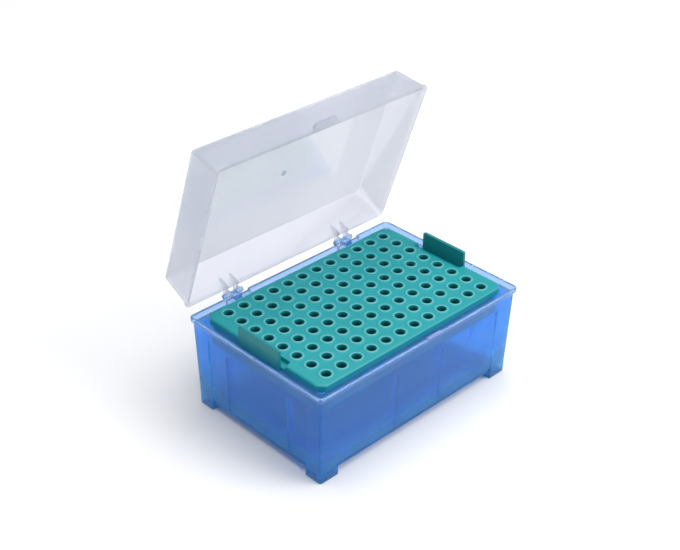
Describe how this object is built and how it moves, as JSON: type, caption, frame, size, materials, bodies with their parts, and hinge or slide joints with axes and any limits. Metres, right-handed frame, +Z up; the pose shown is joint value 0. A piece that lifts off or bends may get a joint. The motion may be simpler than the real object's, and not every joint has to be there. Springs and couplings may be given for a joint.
{
  "type": "hinged pipette tip rack box",
  "caption": "Rectangular translucent box with a hinged clear lid and a lift-out perforated rack with two upright grips.",
  "frame": {"origin": "on the table under the middle of the tub, in the plane of the four feet", "axes": "+X along the rows of twelve holes, +Y towards the hinges, +Z up"},
  "size_m": [0.1272, 0.1043, 0.1322],
  "materials": {
    "tub": "translucent blue polypropylene, satin",
    "rack": "opaque teal polypropylene, satin",
    "lid": "clear polypropylene with a faint haze"
  },
  "bodies": {
    "tub": {"tub": "tub"},
    "rack": {"rack": "rack"},
    "lid": {"lid": "lid"}
  },
  "joints": [
    {"name": "lid_hinge", "type": "hinge", "parent": "tub", "child": "lid", "pos_m": [0, 0.0453, 0.0464], "axis": [-1, 0, 0], "range_deg": [-71.5, 38.5]},
    {"name": "rack_lift", "type": "slide", "parent": "tub", "child": "rack", "axis": [0, 0, 1], "range_m": [0, 0.06]}
  ]
}
